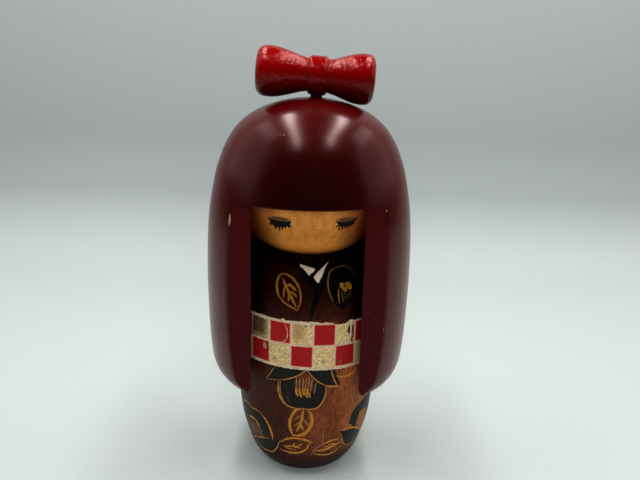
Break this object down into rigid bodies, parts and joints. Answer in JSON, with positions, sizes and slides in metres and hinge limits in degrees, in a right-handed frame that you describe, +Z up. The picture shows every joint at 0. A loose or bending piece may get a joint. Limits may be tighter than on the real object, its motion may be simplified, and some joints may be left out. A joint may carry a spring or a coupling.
{
  "type": "kokeshi doll",
  "caption": "Turned wooden kokeshi doll: ball head in a hollow turned hair cap with a bow, on a carved kimono body with a paper sash.",
  "frame": {"origin": "middle of the flat base, on the surface the doll stands on", "axes": "+Z up along the turning axis, the face looks along -Y, +X is the viewer's right"},
  "size_m": [0.072, 0.0701, 0.1497],
  "materials": {
    "stained_wood": "red-brown stain under clear satin varnish, carved lines ochre",
    "sash_paper": "printed washi paper, red and gold check",
    "plain_wood": "bare turned wood",
    "face_wood": "natural pale wood, satin, painted eyes",
    "hair_lacquer": "dark maroon lacquer, semi-gloss; cut faces matt",
    "bow_lacquer": "bright red lacquer, high gloss",
    "peg_wood": "turned wood darkened by the red lacquer"
  },
  "bodies": {
    "root": {"body": "stained_wood", "obi": "sash_paper", "neck_dowel": "plain_wood"},
    "head": {"head": "face_wood", "hair": "hair_lacquer"},
    "bow": {"bow": "bow_lacquer", "bow_peg": "peg_wood"}
  },
  "joints": [
    {"name": "head_turn", "type": "hinge", "parent": "root", "child": "head", "pos_m": [0, 0, 0.08], "axis": [0, 0, 1], "continuous": true},
    {"name": "bow_turn", "type": "hinge", "parent": "head", "child": "bow", "pos_m": [0.0016, 0, 0.1403], "axis": [0.061, 0, 0.9981], "continuous": true}
  ]
}
